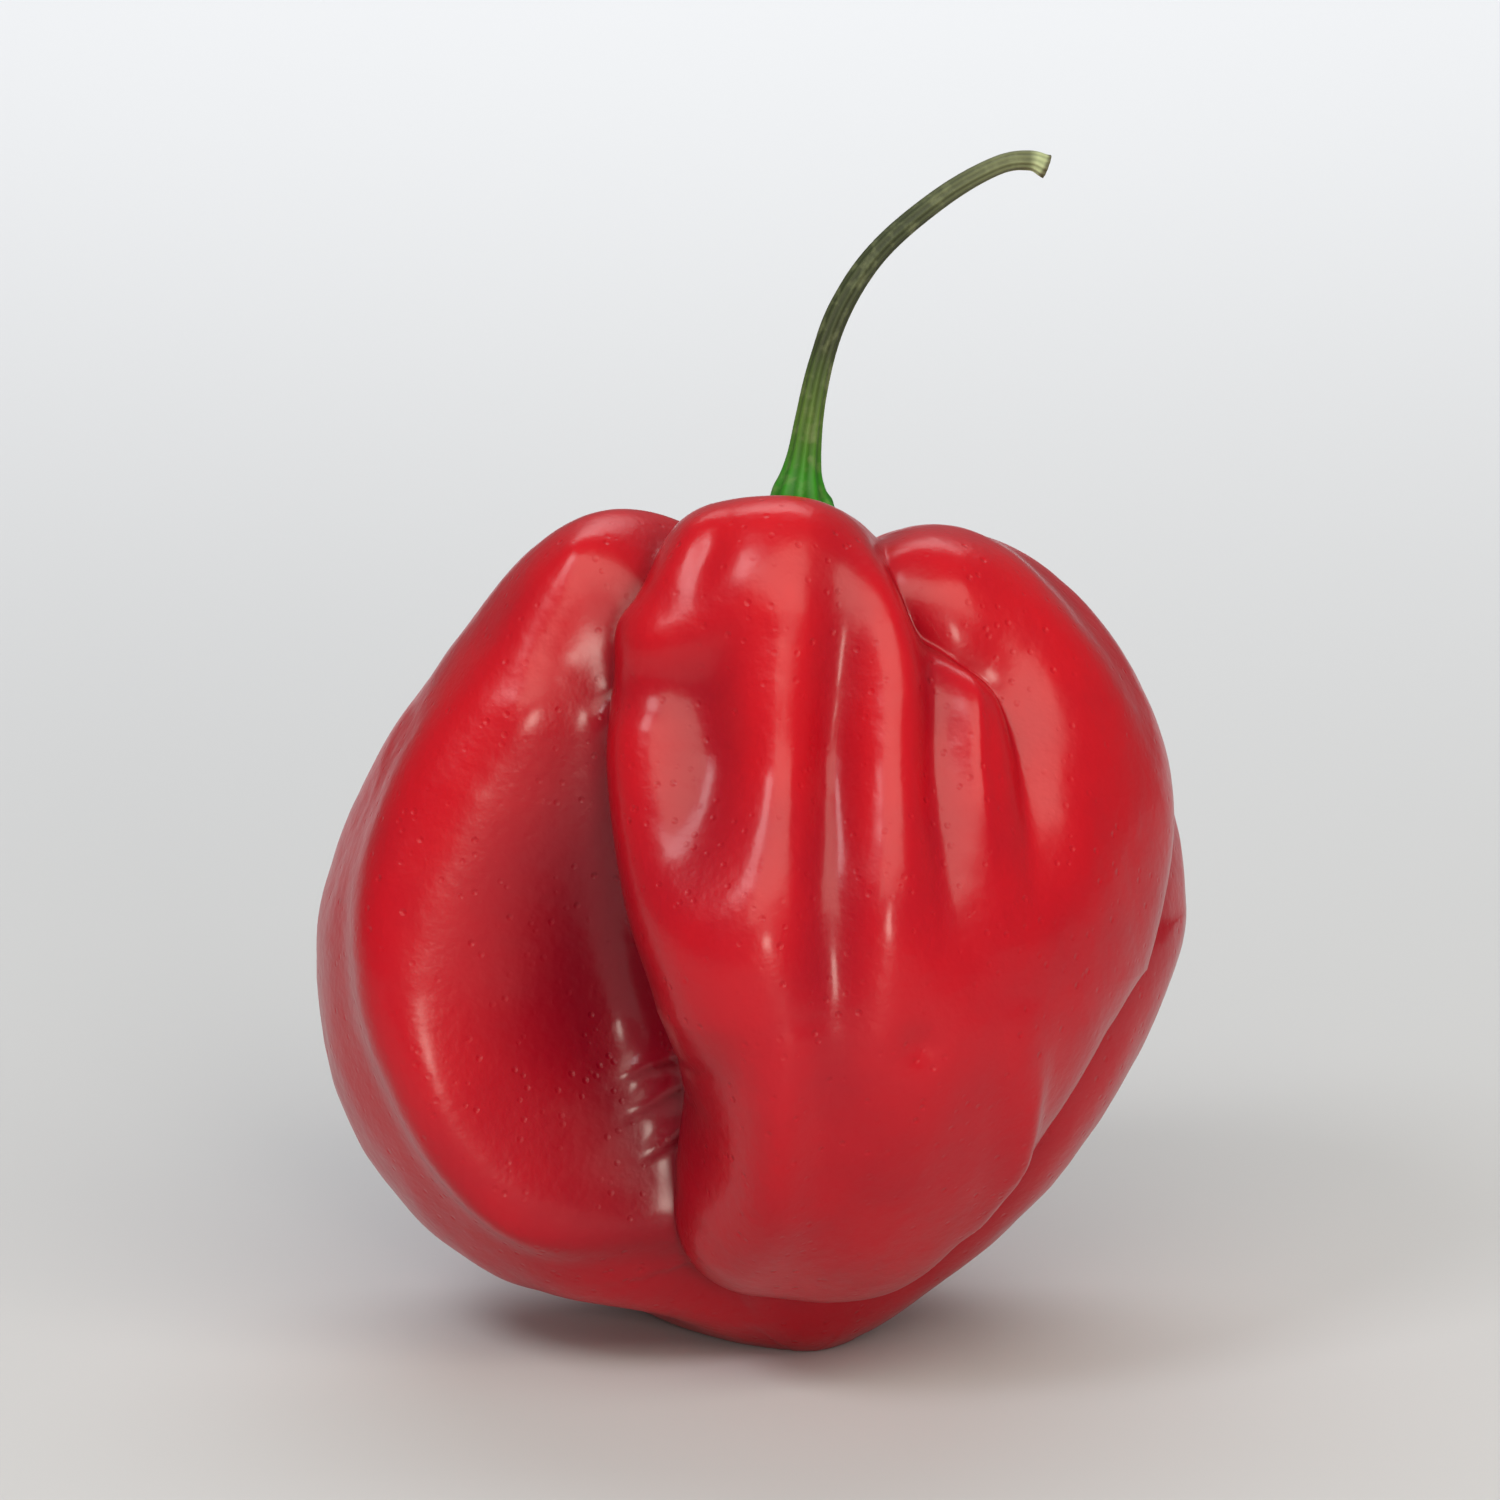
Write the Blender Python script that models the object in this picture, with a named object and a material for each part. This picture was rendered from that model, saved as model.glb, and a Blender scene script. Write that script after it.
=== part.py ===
"""A ripe scotch bonnet pepper as picked: a lobed, folded pod on its blossom end, and its curved green stem.

Units are metres, +Z is up, and the origin is on the surface under the middle of the pod. Places on the pod
are given like those on a globe: longitude 0 is the front (-Y) and +90 is the right side (+X), and latitude 90
is the stem end. The tables of furrows, grooves, swellings and of the stem are in degrees and millimetres.
"""

import math

import bmesh
import bpy
import numpy as np
from mathutils import Vector
from mathutils.bvhtree import BVHTree

MM = 0.001

# The pod before it is furrowed: an egg of unlike quarters round its own axis, in millimetres
AXIS_X = 2.5
RIGHT_RADIUS = 24.5
LEFT_RADIUS = 29.0
FRONT_RADIUS = 24.5
BACK_RADIUS = 25.0
MIDDLE_HEIGHT = 27.0
UPPER_RADIUS = 29.0
LOWER_RADIUS = 28.2
GLOBE_RADIUS = 26.5

# Fullness 2 is an ellipse, and more is squarer. The left side is low-bellied and the right side high-bellied
SHOULDER_FULLNESS = 2.25
LEFT_SHOULDER_LOSS = 0.5
BLOSSOM_FULLNESS = 1.95
LEFT_BLOSSOM_GAIN = 0.45
RIGHT_BLOSSOM_LOSS = 0.42

POD_SEGMENTS = 224
POD_RINGS = 112
POD_TRIANGLES = 8200
CREASE_ROUNDING = 0.45
WALL_ROUNDNESS = 0.12

# A path is read at this many steps. The near ones count most, within the blend and by the power of the focus.
# A place on the other side of the pod, where the path faces away from it, counts as far from the path.
PATH_STEPS = 72
PATH_BLEND = 2.0
PATH_FOCUS = 6.0
LEAST_FACING = 0.05
FAR = 1000.0
TINY = 1e-6

# Each row of a path is longitude, latitude, depth, and the reach of the wall to the left and to the right of
# the path, going down from the stem end. "lean" is how far a wall tips over the furrow, the right wall if it
# is positive and the left wall if it is negative, and "lean_at" how far from the bottom that wall tips most.
# "wall" takes the place of WALL_ROUNDNESS where the walls are steeper.
FURROWS = {
    "left_fold": {
        "path": [
            (-72, 84, 1.6, 3.0, 3.0),
            (-50, 71, 3.8, 2.8, 2.4),
            (-39, 60, 4.6, 3.0, 2.2),
            (-37, 46, 5.0, 4.4, 2.0),
            (-31, 29, 7.0, 8.5, 2.0),
            (-24, 11, 9.0, 13.0, 2.2),
            (-17, -4, 10.0, 16.5, 2.4),
            (-15, -19, 10.0, 16.0, 2.4),
            (-19, -34, 8.6, 9.0, 2.2),
            (-22, -46, 5.0, 4.6, 2.4),
            (-12, -66, 1.0, 3.5, 3.0),
        ],
        "wall": 0.22,
        "lean": 2.6,
        "lean_at": 2.2,
    },
    "right_groove": {
        "path": [
            (84, 80, 0.6, 2.6, 2.6),
            (50, 73, 1.8, 2.2, 2.4),
            (33, 64, 3.4, 2.2, 2.6),
            (33, 55, 3.4, 2.0, 2.6),
            (39, 47, 2.8, 1.8, 2.8),
            (46, 39, 2.6, 1.6, 3.0),
            (45, 29, 2.0, 1.6, 3.2),
            (41, 18, 1.0, 1.8, 3.2),
            (38, 7, 0.0, 2.2, 3.0),
        ],
        "lean": 0.6,
        "lean_at": 1.8,
    },
    "right_fold": {
        "path": [
            (120, 82, 0.8, 3.0, 3.0),
            (112, 66, 3.4, 3.0, 3.5),
            (106, 48, 4.0, 3.0, 4.0),
            (97, 30, 3.6, 3.0, 4.5),
            (86, 13, 3.2, 2.6, 5.0),
            (72, -2, 3.4, 2.2, 5.5),
            (59, -15, 3.8, 2.0, 5.5),
            (50, -27, 4.4, 1.8, 5.5),
            (42, -40, 4.8, 1.8, 5.5),
            (30, -52, 4.8, 1.8, 5.0),
            (12, -55, 4.2, 1.8, 4.5),
            (-4, -53, 3.0, 1.8, 4.0),
            (-14, -53, 1.0, 1.8, 3.5),
        ],
        "lean": -2.0,
        "lean_at": 2.0,
    },
    "back_right_fold": {
        "path": [
            (150, 84, 0.8, 3.0, 3.0),
            (161, 67, 3.4, 3.2, 3.2),
            (169, 45, 4.6, 4.0, 3.4),
            (166, 20, 5.2, 5.5, 3.6),
            (158, -2, 4.8, 6.0, 3.4),
            (150, -24, 3.8, 5.0, 3.4),
            (147, -46, 2.8, 4.0, 3.4),
            (142, -66, 1.0, 3.0, 3.0),
        ],
        "lean": 1.4,
        "lean_at": 2.6,
    },
    "back_left_fold": {
        "path": [
            (-165, 84, 0.8, 3.0, 3.0),
            (-152, 67, 3.2, 3.0, 3.2),
            (-141, 45, 4.2, 3.2, 4.4),
            (-144, 22, 5.0, 3.2, 6.0),
            (-150, 0, 5.4, 3.2, 6.5),
            (-147, -22, 4.2, 3.2, 5.5),
            (-138, -44, 2.8, 3.2, 4.0),
            (-128, -64, 1.0, 3.0, 3.0),
        ],
        "lean": -1.6,
        "lean_at": 2.6,
    },
    "left_back_fold": {
        "path": [
            (-112, 84, 0.6, 3.0, 3.0),
            (-106, 67, 2.4, 3.0, 3.0),
            (-102, 47, 3.0, 3.4, 3.4),
            (-104, 25, 2.8, 4.0, 4.0),
            (-108, 3, 2.4, 4.5, 4.5),
            (-106, -18, 2.8, 4.5, 4.0),
            (-98, -38, 3.2, 4.0, 3.4),
            (-90, -58, 1.8, 3.0, 3.0),
            (-84, -70, 0.6, 3.0, 3.0),
        ],
        "lean": 0.8,
        "lean_at": 2.4,
    },
}

# Round-bottomed grooves, and ribs where the depth is negative. Each row is longitude, latitude, depth and
# half width.
GROOVES = {
    "front_middle": [
        (22, 69, 0.4, 2.0),
        (13, 60, 1.0, 2.1),
        (11, 49, 1.3, 2.2),
        (9, 36, 1.5, 2.3),
        (7, 21, 1.5, 2.3),
        (6, 7, 1.3, 2.3),
        (5, -6, 0.9, 2.4),
        (4, -18, 0.5, 2.5),
        (4, -28, 0.0, 2.6),
    ],
    "front_left": [
        (-14, 46, 0.3, 2.0),
        (-14, 40, 1.2, 2.2),
        (-12, 31, 1.5, 2.4),
        (-11, 20, 1.0, 2.4),
        (-9, 10, 0.0, 2.2),
    ],
    "front_right": [
        (38, 58, 0.3, 1.6),
        (32, 48, 1.0, 1.6),
        (29, 38, 1.3, 1.6),
        (26, 27, 1.1, 1.7),
        (24, 15, 0.7, 1.9),
        (23, 4, 0.0, 2.2),
    ],
    "front_left_rib": [
        (3, 58, 0.0, 2.0),
        (0, 46, -0.5, 2.0),
        (-1, 34, -0.7, 2.2),
        (-2, 22, -0.8, 2.4),
        (-4, 12, -0.5, 2.6),
        (-6, 3, 0.0, 2.6),
    ],
    "front_middle_rib": [
        (22, 58, 0.0, 2.4),
        (19, 46, -0.4, 2.6),
        (17, 34, -0.8, 2.8),
        (16, 22, -0.8, 2.8),
        (15, 10, -0.5, 2.8),
        (15, 1, 0.0, 2.8),
    ],
    "front_cross": [
        (-38, 45, 0.9, 1.6),
        (-25, 42, 1.0, 1.7),
        (-14, 44, 0.7, 1.7),
        (-5, 51, 0.0, 1.9),
    ],
    "front_lower_rib": [
        (3, 4, 0.0, 2.2),
        (1, -8, -1.2, 2.0),
        (0, -20, -1.6, 1.9),
        (-3, -33, -1.3, 2.1),
        (-9, -44, 0.0, 2.3),
    ],
    "front_lower_hollow": [
        (-6, 1, 0.0, 2.5),
        (-8, -12, 1.2, 2.2),
        (-9, -26, 1.2, 2.1),
        (-13, -38, 0.5, 2.0),
    ],
    "right_lower_rib": [
        (35, 0, 0.0, 1.6),
        (36, -12, -0.5, 1.6),
        (37, -24, -0.7, 1.5),
        (36, -36, -0.5, 1.5),
    ],
    "left_rim_rib": [
        (-66, 44, 0.0, 3.0),
        (-64, 22, -0.8, 3.0),
        (-60, 2, -1.3, 2.8),
        (-54, -12, -1.7, 2.5),
        (-49, -24, -1.9, 2.3),
        (-42, -34, -2.0, 2.2),
        (-30, -42, -1.7, 2.2),
        (-16, -48, 0.0, 2.4),
    ],
    "right_back_shoulder": [
        (136, 72, 0.3, 2.2),
        (132, 52, 1.5, 2.2),
        (130, 34, 1.3, 2.4),
        (132, 16, 0.0, 2.6),
    ],
    "back_shoulder": [
        (-170, 70, 0.3, 2.2),
        (-172, 50, 1.6, 2.2),
        (-168, 30, 1.4, 2.4),
        (-172, 8, 0.0, 2.6),
    ],
    "left_back_shoulder": [
        (-128, 70, 0.3, 2.2),
        (-124, 48, 1.4, 2.2),
        (-126, 28, 1.2, 2.4),
        (-130, 8, 0.0, 2.6),
    ],
    "right_shoulder": [
        (86, 66, 0.3, 2.4),
        (80, 48, 0.8, 2.6),
        (76, 30, 0.5, 3.0),
        (74, 14, 0.0, 3.0),
    ],
}

# Swellings, and dents where the height is negative: longitude, latitude, height, half width, half height
SWELLINGS = {
    "front_shoulder": (6, 67, 4.2, 8.5, 7.5),
    "left_shoulder": (-58, 66, 2.4, 6.0, 8.0),
    "left_upper_side": (-80, 54, 1.2, 6.0, 6.0),
    "front_belly": (12, -5, 1.5, 13.0, 12.0),
    "upper_front_slope": (2, 31, -2.0, 14.0, 8.0),
    "front_rib_end": (-6, 5, 1.0, 5.5, 5.0),
    "left_belly": (-82, -10, 1.4, 9.0, 14.0),
    "right_belly": (84, 16, 1.6, 12.0, 13.0),
    "left_dish": (-36, -6, -2.6, 6.0, 11.0),
    "fold_knob_upper": (-34, 51, 0.8, 1.5, 1.6),
    "fold_knob_lower": (-35, 41, 0.9, 1.6, 1.6),
    "front_dimple": (18, -4, -0.5, 1.4, 1.4),
    "back_lobe": (-172, 4, 1.2, 10.0, 14.0),
    "right_back_lobe": (128, -6, 1.6, 11.0, 14.0),
    "left_back_lobe": (-126, -10, 1.4, 8.0, 12.0),
    "right_back_shoulder_low": (146, 66, -2.2, 6.0, 6.0),
    "left_back_shoulder_low": (-134, 66, -1.2, 6.0, 6.0),
    "back_dent_upper": (-176, 24, -0.9, 5.0, 3.0),
    "back_dent_lower": (130, -22, -0.8, 6.0, 3.0),
    "left_back_dent": (-122, 14, -0.8, 4.0, 3.0),
    "stem_hollow": (0, 90, -6.2, 8.0, 8.0),
    "left_underside": (-62, -66, -2.6, 6.0, 6.0),
    "blossom_dimple": (0, -90, -1.6, 2.6, 2.6),
}

# The calyx lies on the pod with a narrow gap, and the pedicel's rows are x, y, z and radius
STEM_SEGMENTS = 40
STEM_UNDERSIDE_RINGS = 5
STEM_CALYX_RINGS = 5
STEM_PEDICEL_RINGS = 24
STEM_GAP = 0.35
CALYX_RADIUS = 4.3
CALYX_TOOTH = 1.0
CALYX_TEETH = 5
CALYX_TOOTH_SHARPNESS = 1.6
CALYX_TOOTH_LIFT = 0.25
CALYX_EDGE = 0.55
CALYX_RISE = 1.8
CALYX_TURN = 18.0
PEDICEL_RIDGE = 0.05
RAY_START = 200.0
PEDICEL = [
    (3.10, 1.0, 52.9, 2.6),
    (3.12, 1.0, 53.6, 2.1),
    (3.14, 1.0, 54.6, 1.65),
    (3.35, 1.1, 56.3, 1.14),
    (3.71, 1.2, 59.0, 0.88),
    (4.50, 1.5, 62.8, 0.76),
    (5.85, 1.9, 66.4, 0.72),
    (8.25, 2.4, 69.8, 0.67),
    (12.10, 2.9, 73.0, 0.62),
    (15.50, 3.2, 74.9, 0.58),
    (17.50, 3.35, 75.2, 0.60),
    (18.64, 3.4, 74.8, 0.74),
]


def clear_scene():
    for obj in list(bpy.data.objects):
        bpy.data.objects.remove(obj, do_unlink=True)


def make_material(name, colour, roughness):
    material = bpy.data.materials.new(name)
    material.use_nodes = True
    shader = material.node_tree.nodes["Principled BSDF"]
    shader.inputs["Base Color"].default_value = (*colour, 1.0)
    shader.inputs["Roughness"].default_value = roughness
    shader.inputs["Metallic"].default_value = 0.0
    return material


def directions(longitude, latitude):
    """Unit vectors from the pod's middle, one row for each place."""
    lon, lat = np.radians(longitude), np.radians(latitude)
    return np.stack([np.cos(lat) * np.sin(lon), -np.cos(lat) * np.cos(lon), np.sin(lat)], axis=-1)


def smooth_rows(rows, steps):
    """A Catmull-Rom curve through the rows of numbers, as this many rows."""
    knots = np.vstack([2 * rows[0] - rows[1], rows, 2 * rows[-1] - rows[-2]])
    share = np.linspace(0, len(rows) - 1 - TINY, steps)
    span = share.astype(int)
    t = (share - span)[:, None]
    a, b, c, d = (knots[span + i] for i in range(4))
    return 0.5 * (2 * b + (c - a) * t + (2 * a - 5 * b + 4 * c - d) * t**2 + (3 * b - a - 3 * c + d) * t**3)


def unit_rows(vectors):
    return vectors / np.linalg.norm(vectors, axis=1, keepdims=True)


def beside_path(unit, rows):
    """How far each place is right of the path and past its end, the values there, and the way right."""
    rows = np.array(rows, float)
    points = smooth_rows(np.hstack([directions(rows[:, 0], rows[:, 1]), rows[:, 2:]]), PATH_STEPS)
    path, values = unit_rows(points[:, :3]), points[:, 3:]
    along = unit_rows(np.gradient(path, axis=0))
    squared = 2 * (1 - unit @ path.T) * GLOBE_RADIUS**2
    # Far from the path a longer part of it counts, so that no seam shows there
    weight = (np.maximum(squared, 0) + PATH_BLEND**2) ** -PATH_FOCUS
    weight /= weight.sum(axis=1, keepdims=True)
    rightward = unit_rows(weight @ np.cross(path, along))
    facing = np.einsum("ij,ij->i", unit, unit_rows(weight @ path))
    scale = GLOBE_RADIUS / np.maximum(facing, LEAST_FACING)
    right = scale * np.einsum("ij,ij->i", unit, rightward)
    forward = scale * np.einsum("ij,ij->i", unit, unit_rows(weight @ along))
    return np.where(facing > LEAST_FACING, right, FAR), forward, weight @ values, rightward


def furrow(unit, spec):
    """Height along the normal and sideways shift that one furrow gives each place."""
    right, forward, values, rightward = beside_path(unit, spec["path"])
    depth = values[:, 0]
    reach = np.where(right < 0, values[:, 1], values[:, 2])
    distance = np.sqrt(right**2 + forward**2 + CREASE_ROUNDING**2) - CREASE_ROUNDING
    height = -depth * np.exp(-((distance / reach) ** (1 + spec.get("wall", WALL_ROUNDNESS) * reach)))
    lean, lean_at = spec["lean"], spec["lean_at"]
    out = np.maximum(right * math.copysign(1, lean), 0) / lean_at
    deepest = max(row[2] for row in spec["path"])
    tip = -lean * depth / deepest * out * np.exp(1 - out) * np.exp(-((forward / lean_at) ** 2))
    return height, tip[:, None] * rightward


def groove(unit, rows):
    right, forward, values, _ = beside_path(unit, rows)
    return -values[:, 0] * np.exp(-(right**2 + forward**2) / values[:, 1] ** 2)


def swelling(unit, longitude, latitude, height, half_width, half_height):
    centre = directions(longitude, latitude)
    east = directions(longitude + 90, 0.0)
    x = unit @ east * GLOBE_RADIUS / half_width
    y = unit @ np.cross(east, centre) * GLOBE_RADIUS / half_height
    return np.where(unit @ centre > 0, height * np.exp(-(x**2) - y**2), 0.0)


def egg(unit):
    """The plain pod and its outward normals, in millimetres."""
    radius_x = np.where(unit[:, 0] > 0, RIGHT_RADIUS, LEFT_RADIUS)
    radius_y = np.where(unit[:, 1] > 0, BACK_RADIUS, FRONT_RADIUS)
    radius_z = np.where(unit[:, 2] > 0, UPPER_RADIUS, LOWER_RADIUS)
    flat = np.maximum(np.hypot(unit[:, 0], unit[:, 1]), TINY)
    leftness = np.maximum(-unit[:, 0] / flat, 0) ** 2
    rightness = np.maximum(unit[:, 0] / flat, 0) ** 2
    upper = SHOULDER_FULLNESS - LEFT_SHOULDER_LOSS * leftness
    lower = BLOSSOM_FULLNESS + LEFT_BLOSSOM_GAIN * leftness - RIGHT_BLOSSOM_LOSS * rightness
    power = 2 / np.where(unit[:, 2] > 0, upper, lower)
    points = np.stack(
        [
            AXIS_X + radius_x * unit[:, 0] * flat ** (power - 1),
            radius_y * unit[:, 1] * flat ** (power - 1),
            MIDDLE_HEIGHT + radius_z * np.sign(unit[:, 2]) * np.abs(unit[:, 2]) ** power,
        ],
        axis=1,
    )
    return points, unit_rows(unit / np.stack([radius_x, radius_y, radius_z], axis=1))


def pod_surface(unit):
    """Where the furrowed pod's skin lies in each direction from its middle, in millimetres."""
    points, normals = egg(unit)
    height = np.zeros(len(unit))
    shift = np.zeros((len(unit), 3))
    for spec in FURROWS.values():
        sunk, tipped = furrow(unit, spec)
        height += sunk
        shift += tipped
    for rows in GROOVES.values():
        height += groove(unit, rows)
    for place in SWELLINGS.values():
        height += swelling(unit, *place)
    return points + normals * height[:, None] + shift


def new_object(name, bm, collection, material):
    mesh = bpy.data.meshes.new(name)
    bm.to_mesh(mesh)
    bm.free()
    mesh.materials.append(material)
    obj = bpy.data.objects.new(name, mesh)
    collection.objects.link(obj)
    return obj


def build_pod(collection):
    bm = bmesh.new()
    bmesh.ops.create_uvsphere(bm, u_segments=POD_SEGMENTS, v_segments=POD_RINGS, radius=1.0)
    unit = unit_rows(np.array([vert.co for vert in bm.verts]))
    for vert, place in zip(bm.verts, pod_surface(unit)):
        vert.co = Vector(place) * MM
    bmesh.ops.triangulate(bm, faces=bm.faces)
    pod = new_object("pod", bm, collection, make_material("ripe red skin", (0.52, 0.016, 0.024), 0.35))

    # Fewer triangles where the skin is smooth, then the low spots pressed flat so that the pod stands
    thin = pod.modifiers.new("fewer triangles", "DECIMATE")
    thin.ratio = POD_TRIANGLES / len(pod.data.polygons)
    bpy.context.view_layer.update()
    mesh = bpy.data.meshes.new_from_object(pod.evaluated_get(bpy.context.evaluated_depsgraph_get()))
    pod.modifiers.clear()
    pod.data = mesh
    for vert in mesh.vertices:
        vert.co.z = max(vert.co.z, 0.0)
    mesh.shade_smooth()
    return pod


def rest_height(tree, x, y):
    """The top of the pod under this point, in millimetres."""
    hit = tree.ray_cast(Vector((x, y, RAY_START)) * MM, Vector((0, 0, -1)))[0]
    return hit.z / MM


def stem_rings(pod, angles):
    """Rings of points from the middle of the calyx's underside, over its edge and up to the cut end."""
    graph = bpy.context.evaluated_depsgraph_get()
    tree = BVHTree.FromObject(pod, graph)
    turned = CALYX_TEETH * (angles - math.radians(CALYX_TURN))
    tooth = (0.5 + 0.5 * np.cos(turned)) ** CALYX_TOOTH_SHARPNESS
    pedicel = smooth_rows(np.array(PEDICEL), STEM_PEDICEL_RINGS)
    middle, neck = pedicel[0, :3], pedicel[0, 3]
    rim = CALYX_RADIUS + CALYX_TOOTH * tooth

    def draped(radius, above):
        x, y = middle[0] + radius * np.cos(angles), middle[1] + radius * np.sin(angles)
        z = [rest_height(tree, *place) for place in zip(x, y)]
        return np.stack([x, y, np.array(z) + STEM_GAP + above], axis=1)

    rings = [draped(rim * share, 0.0) for share in np.linspace(0, 1, STEM_UNDERSIDE_RINGS + 1)]
    for share in np.linspace(1, 0, STEM_CALYX_RINGS, endpoint=False):
        radius = neck + (rim - neck) * share
        low = draped(radius, CALYX_EDGE + CALYX_TOOTH_LIFT * tooth * (1 - share))
        low[:, 2] += (middle[2] - low[:, 2]) * (1 - share) ** CALYX_RISE
        rings.append(low)
    for ring, along in zip(pedicel, np.gradient(pedicel[:, :3], axis=0)):
        along = along / np.linalg.norm(along)
        across = np.array([0.0, 1.0, 0.0]) - along[1] * along
        across /= np.linalg.norm(across)
        radius = ring[3] * (1 + PEDICEL_RIDGE * (2 * tooth - 1))
        x, y = radius * np.cos(angles), radius * np.sin(angles)
        rings.append(ring[:3] + np.outer(x, np.cross(across, along)) + np.outer(y, across))
    rings.append(np.tile(pedicel[-1, :3], (len(angles), 1)))
    return np.array(rings)


def build_stem(collection, pod):
    rings = STEM_UNDERSIDE_RINGS + STEM_CALYX_RINGS + STEM_PEDICEL_RINGS + 1
    bm = bmesh.new()
    bmesh.ops.create_uvsphere(bm, u_segments=STEM_SEGMENTS, v_segments=rings, radius=1.0)
    angles = np.arange(STEM_SEGMENTS) * 2 * math.pi / STEM_SEGMENTS
    places = stem_rings(pod, angles)
    # Each circle of the sphere, from its lower pole to its upper, becomes one ring of the stem
    for vert in bm.verts:
        ring = round((math.asin(max(-1.0, min(1.0, vert.co.z))) / math.pi + 0.5) * rings)
        turn = round(math.atan2(vert.co.y, vert.co.x) / (2 * math.pi) * STEM_SEGMENTS) % STEM_SEGMENTS
        vert.co = Vector(places[ring, turn]) * MM
    stem = new_object("stem", bm, collection, make_material("green stem", (0.07, 0.12, 0.02), 0.55))
    stem.data.shade_smooth()
    return stem


def main():
    clear_scene()
    collection = bpy.data.collections.new("scotch_bonnet_pepper")
    bpy.context.scene.collection.children.link(collection)
    pod = build_pod(collection)
    build_stem(collection, pod)


if __name__ == "__main__":
    main()
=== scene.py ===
import math

import bpy
import numpy as np
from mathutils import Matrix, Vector, noise
from mathutils.bvhtree import BVHTree


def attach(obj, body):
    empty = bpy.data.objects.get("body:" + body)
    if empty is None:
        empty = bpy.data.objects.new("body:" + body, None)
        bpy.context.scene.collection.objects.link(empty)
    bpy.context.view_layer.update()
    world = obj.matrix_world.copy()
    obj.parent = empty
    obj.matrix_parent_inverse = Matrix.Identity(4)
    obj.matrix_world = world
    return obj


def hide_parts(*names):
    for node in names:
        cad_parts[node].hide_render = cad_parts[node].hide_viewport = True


# A ripe scotch bonnet pepper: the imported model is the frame, and a finer pod and stem are grown over it
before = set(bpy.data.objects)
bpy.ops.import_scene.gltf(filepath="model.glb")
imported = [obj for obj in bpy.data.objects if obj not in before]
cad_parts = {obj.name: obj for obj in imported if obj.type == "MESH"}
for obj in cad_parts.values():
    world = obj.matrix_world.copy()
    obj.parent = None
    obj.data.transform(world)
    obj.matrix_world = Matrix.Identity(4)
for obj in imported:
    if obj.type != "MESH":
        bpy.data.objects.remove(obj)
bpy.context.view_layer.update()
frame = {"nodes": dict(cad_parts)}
print("frame loaded:", ", ".join(frame["nodes"]))

mm = 0.001
body = "root"

# What the pod is shaped from, in degrees and millimetres. Places are given as on a globe: longitude 0 is the
# front and +90 the right side, latitude 90 is the stem end.
podForm = {
    "segments": 400,
    "rings": 240,
    "axisX": 2.5,
    "rightRadius": 24.5,
    "leftRadius": 29.0,
    "frontRadius": 24.5,
    "backRadius": 25.0,
    "middleHeight": 27.0,
    "upperRadius": 29.0,
    "lowerRadius": 28.2,
    "globeRadius": 26.5,
    "shoulderFullness": 2.25,  # 2 is an ellipse, more is squarer
    "leftShoulderLoss": 0.5,
    "blossomFullness": 1.95,
    "leftBlossomGain": 0.45,
    "rightBlossomLoss": 0.42,
    "creaseRounding": 0.3,
    "wallRoundness": 0.12,
    "pathSteps": 96,
    "pathBlend": 1.6,
    "leastFacing": 0.05,  # a path that faces further away than this doesn't reach a place
    "farAway": 1000.0,
    "fullFoldShade": 9.0,  # painted shade: a fold this deep gets the darkest painted shade
    # painted shade: a groove this deep gets the most painted shade
    "fullGrooveShade": 4.0,
    "wavesEnd": 1.2,  # the skin's waves fade towards both ends by this and the power below
    "wavesFade": 4,
}

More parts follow.
